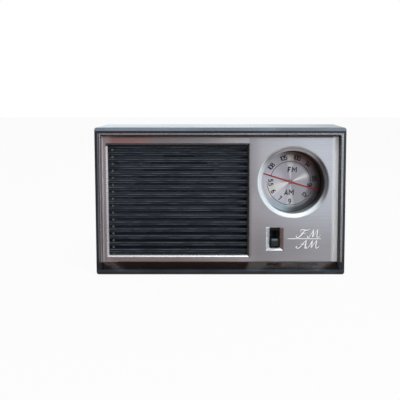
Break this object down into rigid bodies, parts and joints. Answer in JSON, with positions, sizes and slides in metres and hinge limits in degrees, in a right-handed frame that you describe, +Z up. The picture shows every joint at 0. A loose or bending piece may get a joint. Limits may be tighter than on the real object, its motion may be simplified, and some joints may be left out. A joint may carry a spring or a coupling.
{
  "type": "table radio",
  "caption": "Portable table radio with a leaning brushed face, louvred loudspeaker grille, round recessed tuning dial with a red needle, band switch, side knobs and stowed whip antenna.",
  "frame": {"origin": "centre of the whole radio's footprint, on the surface that its feet stand on", "axes": "+X to the right seen from the front, +Y from the leaning front to the rear cover, +Z up"},
  "size_m": [0.195, 0.0696, 0.1121],
  "materials": {
    "cabinet_black": "polished moulded plastic",
    "cover_black": "fine moulded grain",
    "brushed_plate": "brushed along its length",
    "bright_trim": "bright",
    "louvre_black": "satin",
    "baffle": "matt board",
    "bright_ring": "bright turned",
    "well_black": "satin",
    "spun_disc": "spun, with printed figures",
    "needle_red": "gloss enamel",
    "steel": "plain",
    "ivory_plastic": "moulded",
    "clear_case": "milky case",
    "cord": "waxed cord",
    "knob_black": "ribbed edge",
    "bracket_steel": "zinc plated",
    "bright_surround": "bright",
    "button_black": "ribbed",
    "cone_paper": "pressed paper",
    "magnet": "plain",
    "board": "varnished board",
    "can_metal": "drawn cans",
    "component_black": "moulded",
    "capacitor_sleeve": "shrunk sleeve",
    "transformer_core": "varnished stack",
    "ferrite": "ground",
    "coil_copper": "wound wire",
    "cell_jacket": "printed jacket without words",
    "contact_metal": "nickel plated",
    "door_black": "fine moulded grain",
    "jack_metal": "nickel plated",
    "whip_chrome": "bright drawn tube",
    "foot_rubber": "moulded"
  },
  "bodies": {
    "radio": {"cabinet": "cabinet_black", "rear_cover": "cover_black", "face_plate": "brushed_plate", "plate_trim": "bright_trim", "grille_louvres": "louvre_black", "baffle_board": "baffle", "dial_ring": "bright_ring", "dial_well": "well_black", "dial_disc": "spun_disc", "tuning_capacitor": "clear_case", "dial_cord": "cord", "idler_pin": "steel", "drive_bracket": "bracket_steel", "bracket_screws": "steel", "volume_control": "bracket_steel", "switch_surround": "bright_surround", "band_switch_body": "bracket_steel", "switch_screws": "steel", "speaker_frame": "bracket_steel", "speaker_cone": "cone_paper", "speaker_magnet": "magnet", "baffle_screws": "steel", "speaker_screws": "steel", "circuit_board": "board", "board_screws": "steel", "tuned_cans": "can_metal", "transistors": "component_black", "filter_capacitors": "capacitor_sleeve", "output_transformer": "transformer_core", "driver_transformer": "transformer_core", "ferrite_rod": "ferrite", "rod_coil": "coil_copper", "rod_holders": "ivory_plastic", "battery_box": "cover_black", "battery_cells": "cell_jacket", "battery_contacts": "contact_metal", "earphone_jack": "jack_metal", "whip_pin": "whip_chrome", "rear_screws": "steel", "feet": "foot_rubber"},
    "tuning": {"tuning_spindle": "steel", "tuning_knob": "knob_black"},
    "dial": {"pointer": "needle_red", "tuning_shaft": "steel", "dial_drum": "ivory_plastic"},
    "idler": {"idler_pulley": "ivory_plastic"},
    "volume": {"volume_shaft": "steel", "volume_knob": "knob_black"},
    "band_switch": {"band_switch_button": "button_black"},
    "battery_door": {"battery_door": "door_black"},
    "whip": {"whip_swivel": "whip_chrome", "whip_outer": "whip_chrome"},
    "whip_middle": {"whip_middle": "whip_chrome"},
    "whip_tip": {"whip_tip": "whip_chrome"}
  },
  "joints": [
    {"name": "tuning_turn", "type": "hinge", "parent": "radio", "child": "tuning", "pos_m": [0.09, 0.01389, 0.09093], "axis": [1, 0, 0], "range_deg": [-54, 744]},
    {"name": "dial_turn", "type": "hinge", "parent": "radio", "child": "dial", "pos_m": [0.05375, 0.00553, 0.06713], "axis": [0, -0.9925, 0.1219], "range_deg": [-165, 12]},
    {"name": "idler_turn", "type": "hinge", "parent": "radio", "child": "idler", "pos_m": [0.07545, 0.00528, 0.04298], "axis": [0, -0.9925, 0.1219], "range_deg": [-41, 552]},
    {"name": "volume_turn", "type": "hinge", "parent": "radio", "child": "volume", "pos_m": [0.09, 0.01519, 0.0282], "axis": [1, 0, 0], "range_deg": [-135, 135]},
    {"name": "band_slide", "type": "slide", "parent": "radio", "child": "band_switch", "axis": [0, 0.1219, 0.9925], "range_m": [0, 0.0058]},
    {"name": "door_swing", "type": "hinge", "parent": "radio", "child": "battery_door", "pos_m": [0, 0.03371, 0.0072], "axis": [-1, 0, 0], "range_deg": [0, 95]},
    {"name": "whip_swing", "type": "hinge", "parent": "radio", "child": "whip", "pos_m": [0.0815, 0.03051, 0.10777], "axis": [0, 1, 0], "range_deg": [0, 180]},
    {"name": "whip_draw_middle", "type": "slide", "parent": "whip", "child": "whip_middle", "axis": [-1, 0, 0], "range_m": [0, 0.12]},
    {"name": "whip_draw_tip", "type": "slide", "parent": "whip_middle", "child": "whip_tip", "axis": [-1, 0, 0], "range_m": [0, 0.12]}
  ],
  "couplings": [
    {"joint": "dial_turn", "follows": "tuning_turn", "ratio": -0.22156},
    {"joint": "idler_turn", "follows": "tuning_turn", "ratio": 0.74}
  ]
}
